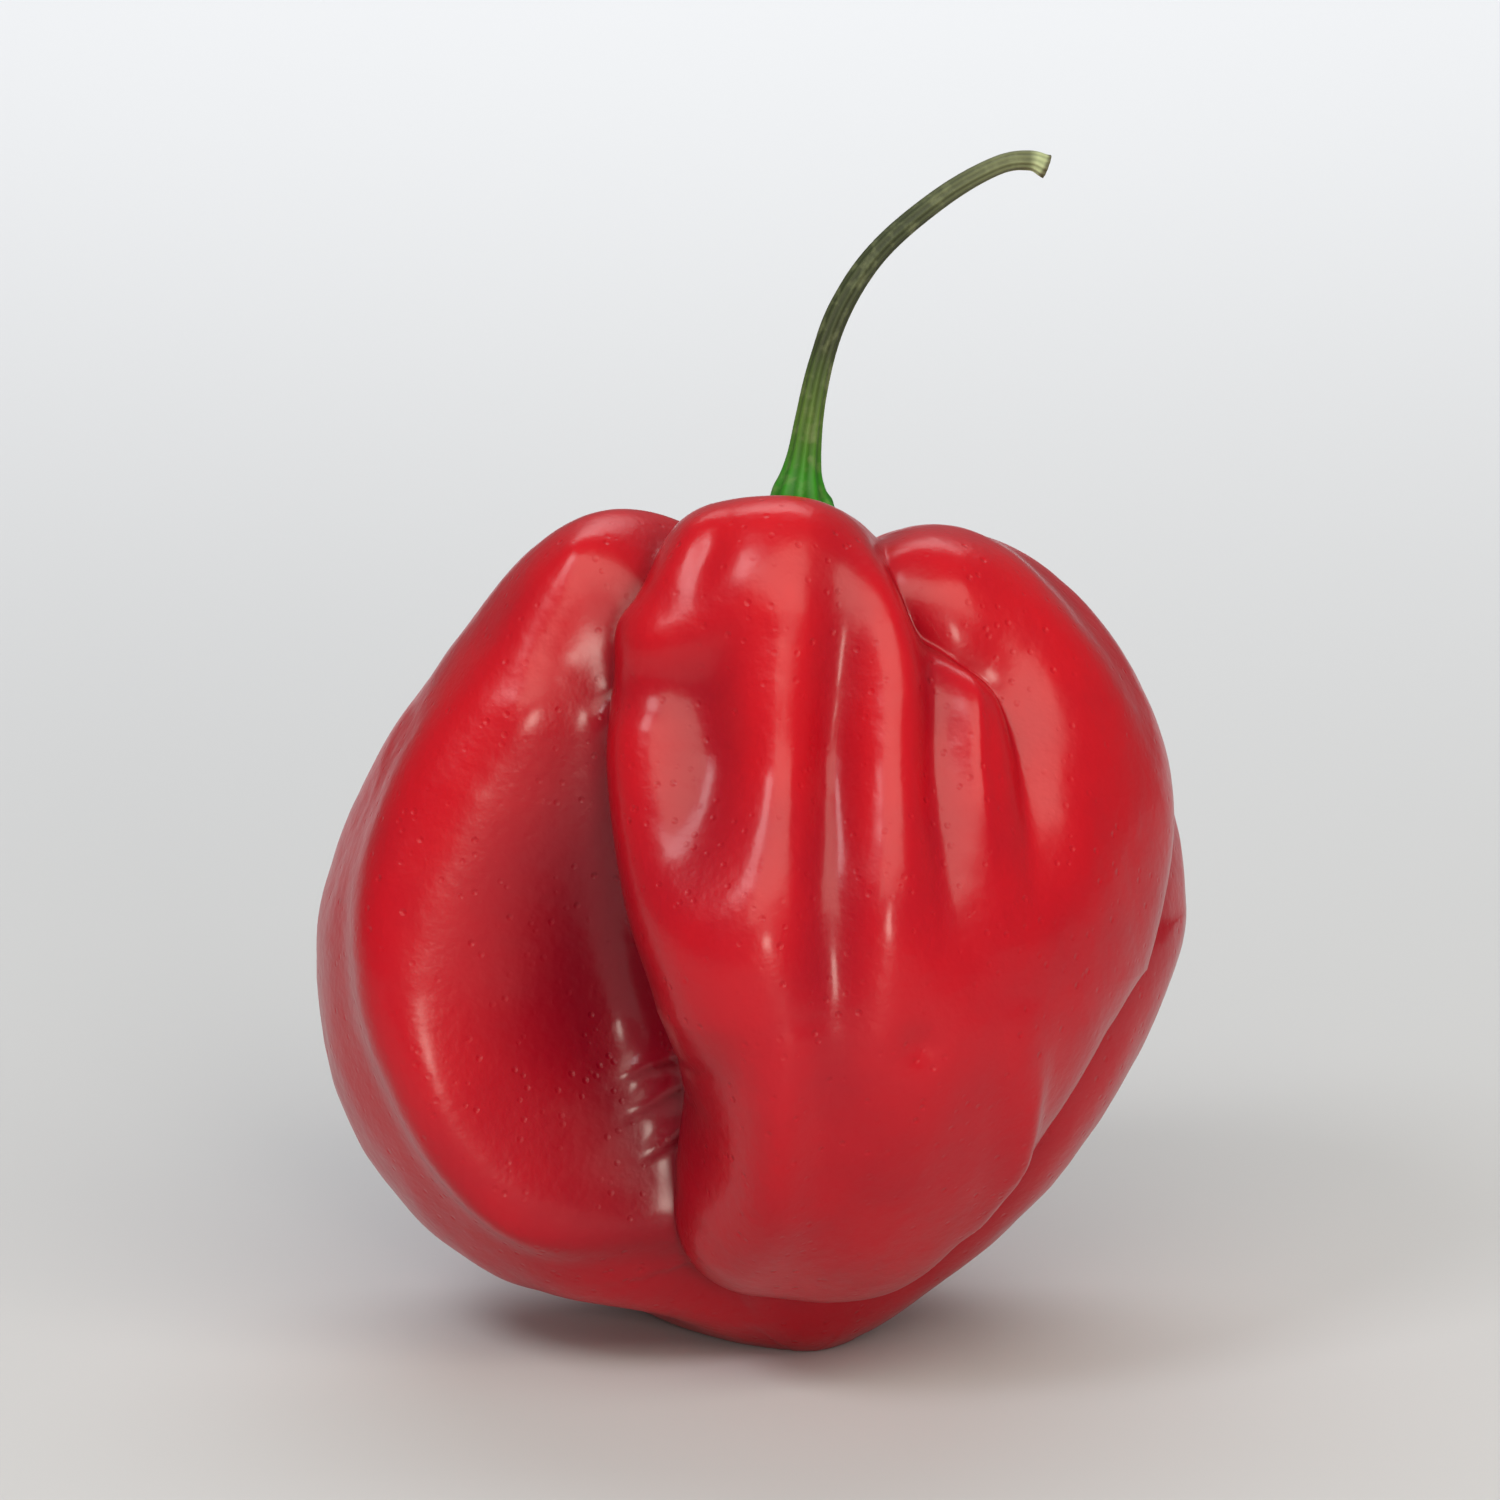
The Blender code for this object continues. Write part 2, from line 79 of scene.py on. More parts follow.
# Deep folds between the lobes, from the stem end down: longitude, latitude, depth, reach of the left wall and
# of the right wall. "lean" is how far the right wall tips over the fold, or the left wall if it is negative.
deepFolds = {
    "left of the front lobe": {
        "path": [
            (-72, 84, 1.6, 3.0, 3.0),
            (-50, 71, 3.8, 2.8, 2.4),
            (-39, 60, 4.6, 3.0, 2.2),
            (-37, 46, 5.0, 4.4, 2.0),
            (-31, 29, 7.0, 8.5, 2.0),
            (-24, 11, 9.0, 13.0, 2.2),
            (-17, -4, 10.0, 16.5, 2.4),
            (-15, -19, 10.0, 16.0, 2.4),
            (-19, -34, 8.6, 9.0, 2.2),
            (-22, -46, 5.0, 4.6, 2.4),
            (-12, -66, 1.0, 3.5, 3.0),
        ],
        "wall": 0.22,
        "lean": 2.6,
        "leanAt": 2.2,
    },
    "right of the front lobe, above": {
        "path": [
            (84, 80, 0.6, 2.6, 2.6),
            (50, 73, 1.8, 2.2, 2.4),
            (33, 64, 3.4, 2.2, 2.6),
            (33, 55, 3.4, 2.0, 2.6),
            (39, 47, 2.8, 1.8, 2.8),
            (46, 39, 2.6, 1.6, 3.0),
            (45, 29, 2.0, 1.6, 3.2),
            (41, 18, 1.0, 1.8, 3.2),
            (38, 7, 0.0, 2.2, 3.0),
        ],
        "lean": 0.6,
        "leanAt": 1.8,
    },
    "under the front lobe and up the right": {
        "path": [
            (120, 82, 0.8, 3.0, 3.0),
            (112, 66, 3.4, 3.0, 3.5),
            (106, 48, 4.0, 3.0, 4.0),
            (97, 30, 3.6, 3.0, 4.5),
            (86, 13, 3.2, 2.6, 5.0),
            (72, -2, 3.4, 2.2, 5.5),
            (59, -15, 3.8, 2.0, 5.5),
            (50, -27, 4.4, 1.8, 5.5),
            (42, -40, 4.8, 1.8, 5.5),
            (30, -52, 4.8, 1.8, 5.0),
            (12, -55, 4.2, 1.8, 4.5),
            (-4, -53, 3.0, 1.8, 4.0),
            (-14, -53, 1.0, 1.8, 3.5),
        ],
        "lean": -2.0,
        "leanAt": 2.0,
    },
    "back, right": {
        "path": [
            (150, 84, 0.8, 3.0, 3.0),
            (161, 67, 3.4, 3.2, 3.2),
            (169, 45, 4.6, 4.0, 3.4),
            (166, 20, 5.2, 5.5, 3.6),
            (158, -2, 4.8, 6.0, 3.4),
            (150, -24, 3.8, 5.0, 3.4),
            (147, -46, 2.8, 4.0, 3.4),
            (142, -66, 1.0, 3.0, 3.0),
        ],
        "lean": 1.4,
        "leanAt": 2.6,
    },
    "back, left": {
        "path": [
            (-165, 84, 0.8, 3.0, 3.0),
            (-152, 67, 3.2, 3.0, 3.2),
            (-141, 45, 4.2, 3.2, 4.4),
            (-144, 22, 5.0, 3.2, 6.0),
            (-150, 0, 5.4, 3.2, 6.5),
            (-147, -22, 4.2, 3.2, 5.5),
            (-138, -44, 2.8, 3.2, 4.0),
            (-128, -64, 1.0, 3.0, 3.0),
        ],
        "lean": -1.6,
        "leanAt": 2.6,
    },
    "left side": {
        "path": [
            (-112, 84, 0.6, 3.0, 3.0),
            (-106, 67, 2.4, 3.0, 3.0),
            (-102, 47, 3.0, 3.4, 3.4),
            (-104, 25, 2.8, 4.0, 4.0),
            (-108, 3, 2.4, 4.5, 4.5),
            (-106, -18, 2.8, 4.5, 4.0),
            (-98, -38, 3.2, 4.0, 3.4),
            (-90, -58, 1.8, 3.0, 3.0),
            (-84, -70, 0.6, 3.0, 3.0),
        ],
        "lean": 0.8,
        "leanAt": 2.4,
    },
}

# Round-bottomed grooves, and ribs where the depth is negative: longitude, latitude, depth, half width
softGrooves = {
    "front middle": [
        (22, 69, 0.4, 2.0),
        (13, 60, 1.0, 2.1),
        (11, 49, 1.3, 2.2),
        (9, 36, 1.5, 2.3),
        (7, 21, 1.5, 2.3),
        (6, 7, 1.3, 2.3),
        (5, -6, 0.9, 2.4),
        (4, -18, 0.5, 2.5),
        (4, -28, 0.0, 2.6),
    ],
    "front left": [
        (-14, 46, 0.3, 2.0),
        (-14, 40, 1.2, 2.2),
        (-12, 31, 1.5, 2.4),
        (-11, 20, 1.0, 2.4),
        (-9, 10, 0.0, 2.2),
    ],
    "front right": [
        (38, 58, 0.3, 1.6),
        (32, 48, 1.0, 1.6),
        (29, 38, 1.3, 1.6),
        (26, 27, 1.1, 1.7),
        (24, 15, 0.7, 1.9),
        (23, 4, 0.0, 2.2),
    ],
    "front left rib": [
        (3, 58, 0.0, 2.0),
        (0, 46, -0.5, 2.0),
        (-1, 34, -0.7, 2.2),
        (-2, 22, -0.8, 2.4),
        (-4, 12, -0.5, 2.6),
        (-6, 3, 0.0, 2.6),
    ],
    "front middle rib": [
        (22, 58, 0.0, 2.4),
        (19, 46, -0.4, 2.6),
        (17, 34, -0.8, 2.8),
        (16, 22, -0.8, 2.8),
        (15, 10, -0.5, 2.8),
        (15, 1, 0.0, 2.8),
    ],
    "front cross": [
        (-38, 45, 0.7, 2.2),
        (-25, 42, 0.9, 2.2),
        (-14, 45, 0.7, 2.2),
        (-5, 53, 0.0, 2.2),
    ],
    "front lower rib": [
        (3, 4, 0.0, 2.2),
        (1, -8, -1.2, 2.0),
        (0, -20, -1.6, 1.9),
        (-3, -33, -1.3, 2.1),
        (-9, -44, 0.0, 2.3),
    ],
    "front lower hollow": [
        (-6, 1, 0.0, 2.5),
        (-8, -12, 1.2, 2.2),
        (-9, -26, 1.2, 2.1),
        (-13, -38, 0.5, 2.0),
    ],
    "right lower rib": [
        (35, 0, 0.0, 1.6),
        (36, -12, -0.5, 1.6),
        (37, -24, -0.7, 1.5),
        (36, -36, -0.5, 1.5),
    ],
    "left rim rib": [
        (-66, 44, 0.0, 3.0),
        (-64, 22, -0.8, 3.0),
        (-60, 2, -1.3, 2.8),
        (-54, -12, -1.7, 2.5),
        (-49, -24, -1.9, 2.3),
        (-42, -34, -2.0, 2.2),
        (-30, -42, -1.7, 2.2),
        (-16, -48, 0.0, 2.4),
    ],
    "right back shoulder": [
        (136, 72, 0.3, 2.2),
        (132, 52, 1.5, 2.2),
        (130, 34, 1.3, 2.4),
        (132, 16, 0.0, 2.6),
    ],
    "back shoulder": [
        (-170, 70, 0.3, 2.2),
        (-172, 50, 1.6, 2.2),
        (-168, 30, 1.4, 2.4),
        (-172, 8, 0.0, 2.6),
    ],
    "left back shoulder": [
        (-128, 70, 0.3, 2.2),
        (-124, 48, 1.4, 2.2),
        (-126, 28, 1.2, 2.4),
        (-130, 8, 0.0, 2.6),
    ],
    "right shoulder": [
        (86, 66, 0.3, 2.4),
        (80, 48, 0.8, 2.6),
        (76, 30, 0.5, 3.0),
        (74, 14, 0.0, 3.0),
    ],
}

# Swellings, and dents where the height is negative: longitude, latitude, height, half width, half height
swellings = {
    "front shoulder": (6, 67, 4.2, 8.5, 7.5),
    "left shoulder": (-58, 66, 2.4, 6.0, 8.0),
    "left upper side": (-80, 54, 1.2, 6.0, 6.0),
    "front belly": (12, -5, 1.5, 13.0, 12.0),
    "upper front slope": (2, 31, -2.0, 14.0, 8.0),
    "front rib end": (-6, 5, 1.0, 5.5, 5.0),
    "left belly": (-82, -10, 1.4, 9.0, 14.0),
    "right belly": (84, 16, 1.6, 12.0, 13.0),
    "left dish": (-36, -6, -2.6, 6.0, 11.0),
    "fold knob, upper": (-34, 51, 0.8, 1.5, 1.6),
    "fold knob, lower": (-35, 41, 0.9, 1.6, 1.6),
    "front dimple": (18, -4, -0.5, 1.4, 1.4),
    "back lobe": (-172, 4, 1.2, 10.0, 14.0),
    "right back lobe": (128, -6, 1.6, 11.0, 14.0),
    "left back lobe": (-126, -10, 1.4, 8.0, 12.0),
    "low right back shoulder": (146, 66, -2.2, 6.0, 6.0),
    "low left back shoulder": (-134, 66, -1.2, 6.0, 6.0),
    "back dent, upper": (-176, 24, -0.9, 5.0, 3.0),
    "back dent, lower": (130, -22, -0.8, 6.0, 3.0),
    "left back dent": (-122, 14, -0.8, 4.0, 3.0),
    "stem hollow": (0, 90, -6.2, 8.0, 8.0),
    "left underside": (-62, -66, -2.6, 6.0, 6.0),
    "blossom dimple": (0, -90, -1.6, 2.6, 2.6),
}

# Small bumps that only this finer skin has
smallBumps = {
    "left of the fold": (-48, 36, 0.5, 1.7, 2.6),
    "left of the fold, above": (-56, 58, 0.35, 1.2, 1.6),
    "beside the pinch": (-16, 64, 0.3, 2.4, 1.6),
    "low on the lip": (-10, -40, 0.3, 1.6, 1.2),
}

# Small wrinkles that only this finer skin has, given like the soft grooves
fineWrinkles = {
    "pinch ridge": [(-36, 51, -0.3, 1.2), (-22, 47, -0.35, 1.6), (-12, 50, -0.3, 1.6), (-5, 58, 0.0, 1.6)],
    "diagonal groove": [(-14, 67, 0.0, 0.8), (-15, 59, 0.4, 0.8), (-17, 51, 0.0, 0.8)],
    "diagonal ridge": [(-20, 67, 0.0, 0.9), (-22, 59, -0.25, 0.9), (-24, 51, 0.0, 0.9)],
    "fold wrinkle, upper": [(-36, -21, 0.0, 0.7), (-30, -20, -0.4, 0.7), (-22, -17, -0.5, 0.6)],
    "fold wrinkle, middle": [(-34, -27, 0.0, 0.7), (-28, -26, -0.35, 0.7), (-22, -23, -0.45, 0.6)],
    "fold wrinkle, lower": [(-31, -34, 0.0, 0.6), (-26, -33, -0.4, 0.6), (-20, -30, -0.45, 0.6)],
    "lip wrinkle, upper": [(-15, -10, 0.3, 0.6), (-10, -10, 0.3, 0.6), (-5, -8, 0.0, 0.6)],
    "lip wrinkle, middle": [(-15, -20, 0.35, 0.6), (-10, -19, 0.3, 0.6), (-6, -17, 0.0, 0.6)],
    "lip wrinkle, lower": [(-19, -32, 0.35, 0.6), (-14, -31, 0.3, 0.6), (-10, -29, 0.0, 0.6)],
    "dish edge": [
        (-55, 0, 0.0, 0.9),
        (-51, -10, -0.4, 0.9),
        (-48, -18, -0.5, 0.9),
        (-44, -25, -0.5, 0.9),
        (-38, -32, -0.4, 0.9),
        (-28, -38, 0.0, 0.9),
    ],
    "right rib line": [(40, 44, 0.0, 0.7), (36, 37, -0.3, 0.7), (33, 28, -0.35, 0.7), (31, 14, 0.0, 0.8)],
    "rim ridge": [(38, -8, 0.0, 0.8), (38, -16, -0.35, 0.8), (38, -24, -0.4, 0.7), (37, -32, 0.0, 0.7)],
}

# Slow unevenness of the skin: size of its waves, height, and how much they are drawn out up and down
skinWaves = [
    {"size": 8.0, "height": 0.34, "stretch": 2.2},
    {"size": 3.4, "height": 0.12, "stretch": 1.6},
    {"size": 1.5, "height": 0.03, "stretch": 1.0},
]


def unitRows(vectors):
    return vectors / np.linalg.norm(vectors, axis=1, keepdims=True)


def globeDirection(longitude, latitude):
    lon = np.radians(longitude)
    lat = np.radians(latitude)
    return np.stack([np.cos(lat) * np.sin(lon), -np.cos(lat) * np.cos(lon), np.sin(lat)], axis=-1)


def smoothRows(rows, steps):
    # Catmull-Rom curve through the rows
    knots = np.vstack([2 * rows[0] - rows[1], rows, 2 * rows[-1] - rows[-2]])
    justBefore = 1e-9
    share = np.linspace(0, len(rows) - 1 - justBefore, steps)
    span = share.astype(int)
    t = (share - span)[:, None]
    a, b, c, d = (knots[span + i] for i in range(4))
    bend = 2 * a - 5 * b + 4 * c - d
    twist = 3 * b - a - 3 * c + d
    return 0.5 * (2 * b + (c - a) * t + bend * t**2 + twist * t**3)


def besidePath(unit, rows):
    # How far each place is to the right of the path and past its end, the values there, and the way right
    rows = np.array(rows, float)
    knots = np.hstack([globeDirection(rows[:, 0], rows[:, 1]), rows[:, 2:]])
    points = smoothRows(knots, podForm["pathSteps"])
    path = unitRows(points[:, :3])
    along = unitRows(np.gradient(path, axis=0))
    # The nearest part of the path counts most, by the sixth power of the distance squared
    apart = np.maximum(2 * (1 - unit @ path.T), 0) * podForm["globeRadius"] ** 2 + podForm["pathBlend"] ** 2
    weight = 1 / (apart * apart * apart) ** 2
    weight /= weight.sum(axis=1, keepdims=True)
    rightward = unitRows(weight @ np.cross(path, along))
    facing = np.einsum("ij,ij->i", unit, unitRows(weight @ path))
    least = podForm["leastFacing"]
    scale = podForm["globeRadius"] / np.maximum(facing, least)
    right = scale * np.einsum("ij,ij->i", unit, rightward)
    forward = scale * np.einsum("ij,ij->i", unit, unitRows(weight @ along))
    return np.where(facing > least, right, podForm["farAway"]), forward, weight @ points[:, 3:], rightward


def foldOf(unit, spec):
    right, forward, values, rightward = besidePath(unit, spec["path"])
    depth = values[:, 0]
    reach = np.where(right < 0, values[:, 1], values[:, 2])
    rounding = podForm["creaseRounding"]
    distance = np.sqrt(right**2 + forward**2 + rounding**2) - rounding
    share = np.exp(-((distance / reach) ** (1 + spec.get("wall", podForm["wallRoundness"]) * reach)))
    out = np.maximum(right * math.copysign(1, spec["lean"]), 0) / spec["leanAt"]
    deepest = max(row[2] for row in spec["path"])
    tip = -spec["lean"] * depth / deepest * out * np.exp(1 - out) * np.exp(-((forward / spec["leanAt"]) ** 2))
    return -depth * share, tip[:, None] * rightward


def grooveOf(unit, rows):
    right, forward, values, _ = besidePath(unit, rows)
    return -values[:, 0] * np.exp(-(right**2 + forward**2) / values[:, 1] ** 2)


def swellingOf(unit, longitude, latitude, height, halfWidth, halfHeight):
    centre = globeDirection(longitude, latitude)
    east = globeDirection(longitude + 90, 0.0)
    x = unit @ east * podForm["globeRadius"] / halfWidth
    y = unit @ np.cross(east, centre) * podForm["globeRadius"] / halfHeight
    return np.where(unit @ centre > 0, height * np.exp(-(x**2) - y**2), 0.0)


def wavesOf(points, normals):
    # The waves fade near the stem and blossom ends, where they would crowd together
    height = np.zeros(len(points))
    for wave in skinWaves:
        step = np.array([1, 1, 1 / wave["stretch"]]) / wave["size"]
        places = points * step
        height += wave["height"] * np.array([noise.noise(Vector(place)) for place in places])
    return height * np.clip(podForm["wavesEnd"] - np.abs(normals[:, 2]) ** podForm["wavesFade"], 0, 1)


def eggOf(unit):
    radiusX = np.where(unit[:, 0] > 0, podForm["rightRadius"], podForm["leftRadius"])
    radiusY = np.where(unit[:, 1] > 0, podForm["backRadius"], podForm["frontRadius"])
    radiusZ = np.where(unit[:, 2] > 0, podForm["upperRadius"], podForm["lowerRadius"])
    nearPole = 1e-6
    flat = np.maximum(np.hypot(unit[:, 0], unit[:, 1]), nearPole)
    leftness = np.maximum(-unit[:, 0] / flat, 0) ** 2
    rightness = np.maximum(unit[:, 0] / flat, 0) ** 2
    upper = podForm["shoulderFullness"] - podForm["leftShoulderLoss"] * leftness
    lower = podForm["blossomFullness"] + podForm["leftBlossomGain"] * leftness
    lower = lower - podForm["rightBlossomLoss"] * rightness
    power = 2 / np.where(unit[:, 2] > 0, upper, lower)
    points = np.stack(
        [
            podForm["axisX"] + radiusX * unit[:, 0] * flat ** (power - 1),
            radiusY * unit[:, 1] * flat ** (power - 1),
            podForm["middleHeight"] + radiusZ * np.sign(unit[:, 2]) * np.abs(unit[:, 2]) ** power,
        ],
        axis=1,
    )
    return points, unitRows(unit / np.stack([radiusX, radiusY, radiusZ], axis=1))


def vertexPlaces(mesh):
    places = np.empty(len(mesh.vertices) * 3)
    mesh.vertices.foreach_get("co", places)
    return places.reshape(-1, 3)


def keepOnSkin(mesh, name, values):
    mesh.attributes.new(name, "FLOAT", "POINT").data.foreach_set("value", values.astype(np.float32))


def newSphere(name, segments, rings):
    bpy.ops.object.select_all(action="DESELECT")
    bpy.ops.mesh.primitive_uv_sphere_add(segments=segments, ring_count=rings, radius=1.0, location=(0, 0, 0))
    piece = bpy.context.object
    piece.name = name
    piece.data.name = name
    return piece


def growPod():
    piece = newSphere("pod_skin", podForm["segments"], podForm["rings"])
    unit = unitRows(vertexPlaces(piece.data))
    points, normals = eggOf(unit)
    foldDepthAndShade = np.zeros(len(unit))
    shift = np.zeros((len(unit), 3))
    for spec in deepFolds.values():
        sunk, tipped = foldOf(unit, spec)
        foldDepthAndShade += sunk
        shift += tipped
    grooveDepthAndShade = sum(grooveOf(unit, rows) for rows in softGrooves.values())
    wrinkled = sum(grooveOf(unit, rows) for rows in fineWrinkles.values())
    bumps = list(swellings.values()) + list(smallBumps.values())
    swollen = sum(swellingOf(unit, *place) for place in bumps)
    height = foldDepthAndShade + grooveDepthAndShade + wrinkled + swollen + wavesOf(points, normals)
    places = points + normals * height[:, None] + shift
    places[:, 2] = np.maximum(places[:, 2], 0)
    piece.data.vertices.foreach_set("co", (places * mm).ravel())
    piece.data.update()
    # How deep each place lies in a fold is kept on the skin for the painted shade there
    keepOnSkin(piece.data, "foldDepthAndShade", np.clip(-foldDepthAndShade / podForm["fullFoldShade"], 0, 1))
    # How deep each place lies in a groove is kept on the skin for the painted shade there
    keepOnSkin(piece.data, "grooveDepthAndShade", np.clip(0.5 - grooveDepthAndShade / podForm["fullGrooveShade"], 0, 1))
    bpy.ops.object.shade_smooth()
    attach(piece, body)
    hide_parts("pod")
    print("pod grown:", len(piece.data.vertices), "points")
    return piece


# The stem: calyx sizes in millimetres, and the pedicel's rows x, y, z and radius
stemForm = {
    "segments": 120,
    "undersideRings": 8,
    "calyxRings": 26,
    "pedicelRings": 150,
    "gap": 0.2,
    "calyxRadius": 4.3,
    "tooth": 1.0,
    "teeth": 5,
    "toothSharpness": 1.6,
    "turn": 18.0,  # degrees that the first tooth is turned from the right
    "rimWobble": 0.35,
    "wobbleSize": 1.4,
    "wobbleSeed": 7.3,
    "rayStart": 200.0,  # well above the pod, to find its skin from
    "edge": 0.5,
    "edgeStart": 0.55,  # share of the edge's height at the rim, and how fast it grows inwards
    "edgeGrowth": 4,
    "calyxRise": 1.8,
    "ribHeight": 0.22,
    "ribRounding": 0.7,
    "ridge": 0.05,
    "bump": 0.05,
    "bumpsAlong": 14,
    "endHollow": 0.12,
    "calyxShare": 0.12,  # the colours' way along the stem: up to here it is calyx
    "rimShare": 0.03,
    "endShare": 1.05,
    "pedicel": [
        (3.10, 1.0, 52.9, 2.6),
        (3.12, 1.0, 53.6, 2.1),
        (3.14, 1.0, 54.6, 1.65),
        (3.35, 1.1, 56.3, 1.14),
        (3.71, 1.2, 59.0, 0.88),
        (4.50, 1.5, 62.8, 0.76),
        (5.85, 1.9, 66.4, 0.72),
        (8.25, 2.4, 69.8, 0.67),
        (12.10, 2.9, 73.0, 0.62),
        (15.50, 3.2, 74.9, 0.58),
        (17.50, 3.35, 75.2, 0.60),
        (18.64, 3.4, 74.8, 0.74),
    ],
}


def growStem(podPiece):
    form = stemForm
    rings = form["undersideRings"] + form["calyxRings"] + form["pedicelRings"] + 1
    piece = newSphere("stem_skin", form["segments"], rings)
    angles = np.arange(form["segments"]) * 2 * math.pi / form["segments"]
    turned = angles - math.radians(form["turn"])
    tooth = (0.5 + 0.5 * np.cos(form["teeth"] * turned)) ** form["toothSharpness"]
    ridges = 0.5 + 0.5 * np.cos(2 * form["teeth"] * turned)
    pedicel = smoothRows(np.array(form["pedicel"]), form["pedicelRings"])
    middle = pedicel[0, :3]
    neck = pedicel[0, 3]
    size = form["wobbleSize"]
    seed = form["wobbleSeed"]
    wobble = np.array([noise.noise(Vector((math.cos(a) * size, math.sin(a) * size, seed))) for a in angles])
    rim = form["calyxRadius"] + form["tooth"] * tooth + form["rimWobble"] * wobble
    tree = BVHTree.FromObject(podPiece, bpy.context.evaluated_depsgraph_get())

    def draped(radius, above):
        x = middle[0] + radius * np.cos(angles)
        y = middle[1] + radius * np.sin(angles)
        starts = [Vector((px, py, form["rayStart"])) * mm for px, py in zip(x, y)]
        z = np.array([tree.ray_cast(start, Vector((0, 0, -1)))[0].z for start in starts]) / mm
        return np.stack([x, y, z + form["gap"] + above], axis=1)

    places = [draped(rim * share, 0.0) for share in np.linspace(0, 1, form["undersideRings"] + 1)]
    along = [np.zeros_like(angles)] * len(places)
    for share in np.linspace(1, 0, form["calyxRings"], endpoint=False):
        inward = 1 - share
        edge = form["edge"] * min(1, form["edgeStart"] + form["edgeGrowth"] * inward)
        ring = draped(neck + (rim - neck) * share, edge)
        ring[:, 2] += (middle[2] - ring[:, 2]) * inward ** form["calyxRise"]
        ring[:, 2] += form["ribHeight"] * ridges * math.sin(math.pi * inward) ** form["ribRounding"]
        places.append(ring)
        along.append(np.full_like(angles, form["calyxShare"] * inward))
    ways = unitRows(np.gradient(pedicel[:, :3], axis=0))
    for index, (row, way) in enumerate(zip(pedicel, ways)):
        across = np.array([0.0, 1.0, 0.0]) - way[1] * way
        across /= np.linalg.norm(across)
        share = index / (form["pedicelRings"] - 1)
        high = share * form["bumpsAlong"]
        bumps = [noise.noise(Vector((math.cos(a), math.sin(a), high))) for a in angles]
        radius = row[3] * (1 + form["ridge"] * (2 * ridges - 1) + form["bump"] * np.array(bumps))
        x = radius * np.cos(angles)
        y = radius * np.sin(angles)
        places.append(row[:3] + np.outer(x, np.cross(across, way)) + np.outer(y, across))
        along.append(np.full_like(angles, form["calyxShare"] + (1 - form["calyxShare"]) * share))
    places.append(np.tile(pedicel[-1, :3] - form["endHollow"] * ways[-1], (len(angles), 1)))
    along.append(np.full_like(angles, form["endShare"]))

    # Each circle of the sphere, from its lower pole up, becomes one ring of the stem
    sphere = vertexPlaces(piece.data)
    ring = np.rint((np.arcsin(np.clip(sphere[:, 2], -1, 1)) / math.pi + 0.5) * rings).astype(int)
    turn = np.rint(np.arctan2(sphere[:, 1], sphere[:, 0]) / (2 * math.pi) * form["segments"]).astype(int)
    turn %= form["segments"]
    piece.data.vertices.foreach_set("co", (np.array(places)[ring, turn] * mm).ravel())
    piece.data.update()
    wayAlong = np.array(along)[ring, turn]
    keepOnSkin(piece.data, "along", wayAlong)
    keepOnSkin(piece.data, "ridged", ridges[turn])
    keepOnSkin(piece.data, "rimward", np.clip(1 - wayAlong / form["rimShare"], 0, 1))
    bpy.ops.object.shade_smooth()
    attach(piece, body)
    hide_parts("stem")
    print("stem grown:", len(piece.data.vertices), "points")
    return piece


def linear(hexColour):
    # sRGB hex to the linear colour that a shader takes
    values = [int(hexColour[i : i + 2], 16) / 255 for i in (0, 2, 4)]
    return tuple(v / 12.92 if v <= 0.04045 else ((v + 0.055) / 1.055) ** 2.4 for v in values) + (1.0,)


def perMm(size):
    # Texture scale for features of this many millimetres, on Object coordinates in metres
    return 1 / (size * mm)


def addNode(tree, kind, links=None, **settings):
    node = tree.nodes.new(kind)
    for name, value in settings.items():
        setattr(node, name, value)
    for socket, source in (links or {}).items():
        if isinstance(source, bpy.types.NodeSocket):
            tree.links.new(source, node.inputs[socket])
        else:
            node.inputs[socket].default_value = source
    return node


def newMaterial(name):
    material = bpy.data.materials.new(name)
    material.use_nodes = True
    tree = material.node_tree
    shader = tree.nodes["Principled BSDF"]
    return material, tree, shader


skinLook = {
    "ripeRed": "B8071B",
    # painted light: the lighter, warmer red painted on the top, where the light from above falls
    "paintedLightShoulder": "C60D1B",
    "paintedLightFrom": 0.026,  # metres above the floor where the painted light begins to lighten the red, and where it is lightest
    "paintedLightTo": 0.056,
    # painted shade: the dark red painted into the folds and grooves, where shade falls
    "paintedShadeCrimson": "780218",
    "blush": "A0081E",
    "blotchSize": 9.0,  # millimetres, as all sizes and depths here
    "smearSize": 4.0,
    "poreSpacing": 1.1,
    "porePatchSize": 6.0,
    "poreDepth": 0.065,
    "peelSize": 0.8,
    "peelDepth": 0.11,
    "glow": 0.12,
    "glowReach": 2.0,
    "glowColours": (1.0, 0.12, 0.08),  # how far red, green and blue go, as shares of the reach
    "roughness": 0.34,
    "glossierBy": 0.06,
    "dullerBy": 0.08,
    "shine": 0.22,
    "waxCoat": 0.3,
    "waxRoughness": 0.19,
}


